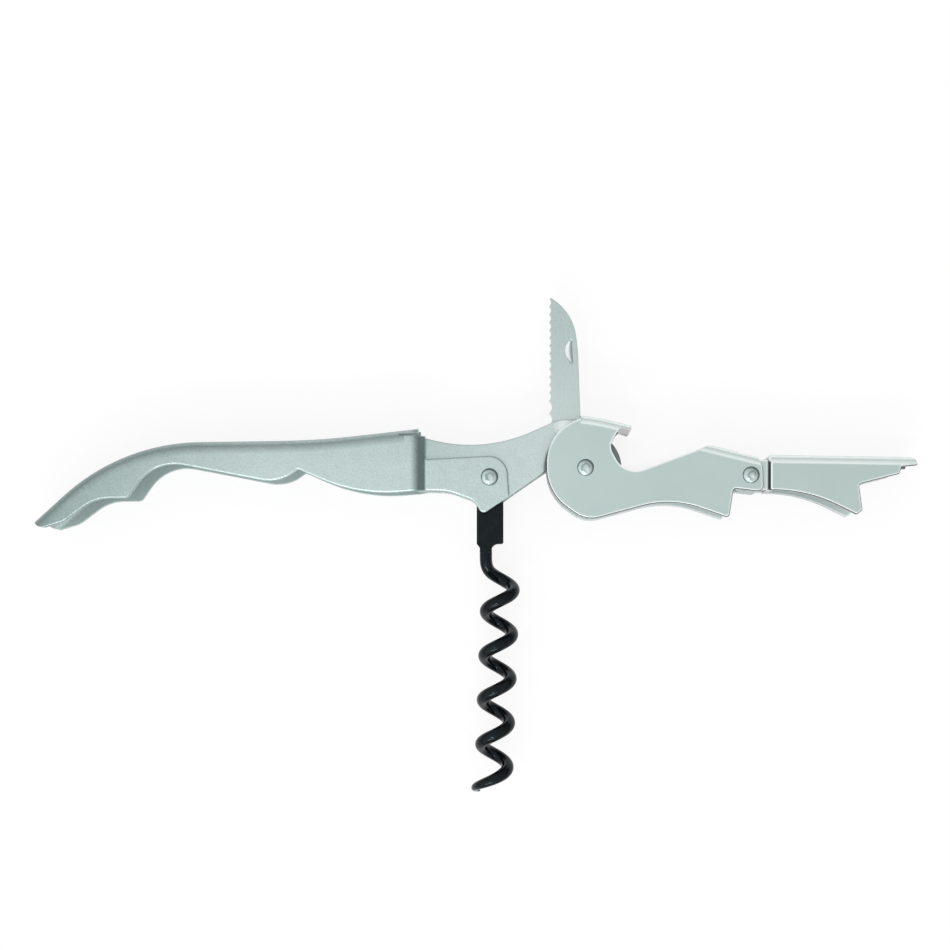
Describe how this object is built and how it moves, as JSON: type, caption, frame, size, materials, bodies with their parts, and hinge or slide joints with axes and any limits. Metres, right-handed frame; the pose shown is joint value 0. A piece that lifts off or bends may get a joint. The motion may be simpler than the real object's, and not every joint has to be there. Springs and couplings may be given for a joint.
{
  "type": "waiter's corkscrew",
  "caption": "Folding waiter's corkscrew with a bent-sheet grip, a two-stage lever with a crown cap opener, a serrated foil knife and a black coated worm.",
  "frame": {"origin": "under the middle of the open tool's bounding box, on the plane that the rivet heads rest on", "axes": "+X from the grip to the tip of the lever, +Y away from the worm, towards the knife's tip, +Z along the rivets, up from the surface that the tool lies on"},
  "size_m": [0.174, 0.0988, 0.0121],
  "materials": {
    "grip_steel": "satin",
    "plate_steel": "satin",
    "lever_chrome": "polished",
    "blade_steel": "satin",
    "rivet_steel": "polished",
    "washer_steel": "satin",
    "worm_coating": "satin non-stick coating"
  },
  "bodies": {
    "grip": {"grip_shell": "grip_steel", "head_plate_front": "plate_steel", "head_plate_back": "plate_steel", "worm_rivet": "rivet_steel"},
    "lever_pivot": {"lever_rivet": "rivet_steel", "lever_washer_front": "washer_steel", "lever_washer_back": "washer_steel", "blade_spacer": "washer_steel"},
    "stage_1": {"lever_stage_1": "lever_chrome", "stage_rivet": "rivet_steel"},
    "stage_2": {"lever_stage_2": "lever_chrome"},
    "blade": {"blade": "blade_steel"},
    "worm": {"worm": "worm_coating"}
  },
  "joints": [
    {"name": "closing_fold", "type": "hinge", "parent": "grip", "child": "lever_pivot", "pos_m": [0.02183, 0.01541, 0.00605], "axis": [0, 0, 1], "range_deg": [-78.5, 0]},
    {"name": "lever_swing", "type": "hinge", "parent": "lever_pivot", "child": "stage_1", "pos_m": [0.02183, 0.01541, 0.00605], "axis": [0, 0, 1], "range_deg": [-85, 0]},
    {"name": "stage_fold", "type": "hinge", "parent": "stage_1", "child": "stage_2", "pos_m": [0.05433, 0.01396, 0.00605], "axis": [0, 0, 1], "range_deg": [-10, 30]},
    {"name": "blade_fold", "type": "hinge", "parent": "grip", "child": "blade", "pos_m": [0.02183, 0.01541, 0.00605], "axis": [0, 0, 1], "range_deg": [0, 68]},
    {"name": "worm_fold", "type": "hinge", "parent": "grip", "child": "worm", "pos_m": [0.00293, 0.01371, 0.00605], "axis": [0, 0, 1], "range_deg": [-91, 0]}
  ],
  "couplings": [
    {"joint": "worm_fold", "follows": "closing_fold", "ratio": 1.1592}
  ]
}
